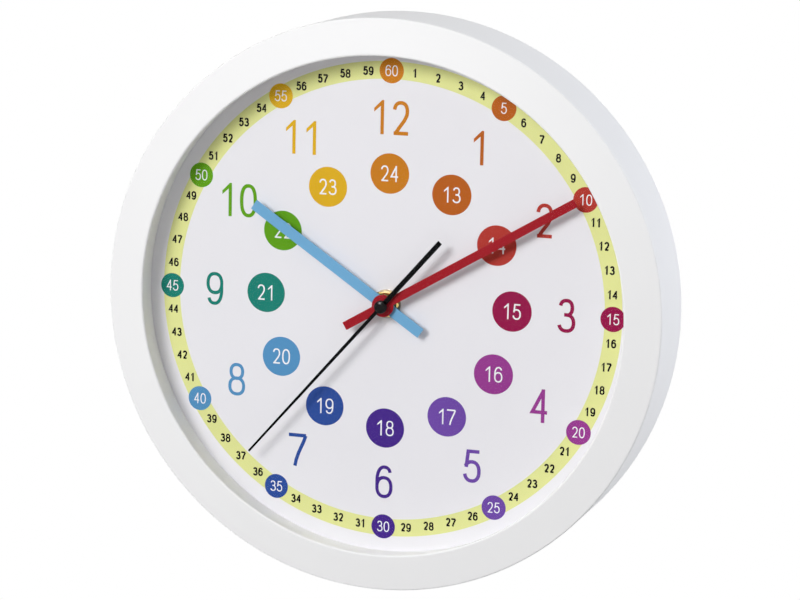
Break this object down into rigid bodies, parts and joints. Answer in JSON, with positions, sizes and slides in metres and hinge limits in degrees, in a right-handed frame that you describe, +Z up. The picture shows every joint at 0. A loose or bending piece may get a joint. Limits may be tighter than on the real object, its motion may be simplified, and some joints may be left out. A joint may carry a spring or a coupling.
{
  "type": "teaching wall clock",
  "caption": "Round white wall clock with a deep well, a numbered teaching dial with minute and 24-hour rings, three turning hands and a battery movement with a working gear train.",
  "frame": {"origin": "nail's seat at the top of the keyhole, in the plane of the case's rear rim", "axes": "+Z up, -Y out of the wall towards the reader, +X to the reader's right; the hands turn about Y, 121 mm below the origin"},
  "size_m": [0.3, 0.046, 0.3],
  "materials": {
    "case_white": "satin-gloss moulding",
    "lens_clear": "clear, polished",
    "dial_paper": "smooth printed card",
    "hardboard": "raw hardboard",
    "cover_white": "fine moulded grain",
    "brass": "turned",
    "steel": "plated",
    "rubber": "matte",
    "movement_black": "fine moulded grain",
    "natural_plastic": "unpigmented moulding",
    "magnet": "sintered",
    "copper": "enamelled wire",
    "board_green": "solder resist",
    "battery_sleeve": "bare printed sleeve",
    "hand_blue": "satin paint",
    "hand_red": "satin paint",
    "hand_black": "gloss"
  },
  "bodies": {
    "case": {"front_frame": "case_white", "lens": "lens_clear", "dial_sheet": "dial_paper", "dial_plate": "hardboard", "back_cover": "cover_white", "threaded_stem": "brass", "stem_washer": "steel", "stem_nut": "brass", "rubber_gasket": "rubber", "movement_lid": "movement_black", "movement_shell": "movement_black", "bearing_plate": "natural_plastic", "stator": "steel", "coil_core": "steel", "coil_bobbin": "natural_plastic", "coil_winding": "copper", "circuit_board": "board_green", "driver_chip": "movement_black", "quartz_crystal": "steel", "positive_contact": "steel", "negative_contact": "steel", "battery": "battery_sleeve", "cover_screw_1": "steel", "cover_screw_2": "steel", "cover_screw_3": "steel", "cover_screw_4": "steel", "cover_screw_5": "steel", "cover_screw_6": "steel"},
    "minute_train": {"minute_hand": "hand_red", "minute_tube": "natural_plastic"},
    "hour_train": {"hour_hand": "hand_blue", "hour_wheel": "natural_plastic"},
    "setting_train": {"minute_wheel": "natural_plastic", "setting_knob": "movement_black"},
    "seconds_train": {"seconds_wheel": "natural_plastic", "seconds_hand": "hand_black", "seconds_cap": "hand_black"},
    "third_train": {"third_wheel": "natural_plastic"},
    "centre_train": {"centre_wheel": "natural_plastic"},
    "intermediate_train": {"intermediate_wheel": "natural_plastic"},
    "rotor_train": {"rotor": "magnet"}
  },
  "joints": [
    {"name": "minute_hand_turn", "type": "hinge", "parent": "case", "child": "minute_train", "pos_m": [0, 0, -0.121], "axis": [0, 1, 0], "continuous": true},
    {"name": "hour_hand_turn", "type": "hinge", "parent": "case", "child": "hour_train", "pos_m": [0, 0, -0.121], "axis": [0, 1, 0], "continuous": true},
    {"name": "setting_knob_turn", "type": "hinge", "parent": "case", "child": "setting_train", "pos_m": [0.00902, 0, -0.11772], "axis": [0, 1, 0], "continuous": true},
    {"name": "seconds_hand_turn", "type": "hinge", "parent": "case", "child": "seconds_train", "pos_m": [0, 0, -0.121], "axis": [0, 1, 0], "continuous": true},
    {"name": "third_wheel_turn", "type": "hinge", "parent": "case", "child": "third_train", "pos_m": [-0.00768, 0, -0.11657], "axis": [0, 1, 0], "continuous": true},
    {"name": "centre_wheel_turn", "type": "hinge", "parent": "case", "child": "centre_train", "pos_m": [0, 0, -0.121], "axis": [0, 1, 0], "continuous": true},
    {"name": "intermediate_wheel_turn", "type": "hinge", "parent": "case", "child": "intermediate_train", "pos_m": [0, 0, -0.1138], "axis": [0, 1, 0], "continuous": true},
    {"name": "rotor_turn", "type": "hinge", "parent": "case", "child": "rotor_train", "pos_m": [-0.00619, 0, -0.11023], "axis": [0, 1, 0], "continuous": true}
  ],
  "couplings": [
    {"joint": "hour_hand_turn", "follows": "minute_hand_turn", "ratio": 0.083333},
    {"joint": "setting_knob_turn", "follows": "minute_hand_turn", "ratio": -0.33333},
    {"joint": "third_wheel_turn", "follows": "seconds_hand_turn", "ratio": -0.13333},
    {"joint": "centre_wheel_turn", "follows": "seconds_hand_turn", "ratio": 0.016667},
    {"joint": "intermediate_wheel_turn", "follows": "seconds_hand_turn", "ratio": -5},
    {"joint": "rotor_turn", "follows": "seconds_hand_turn", "ratio": 30}
  ]
}
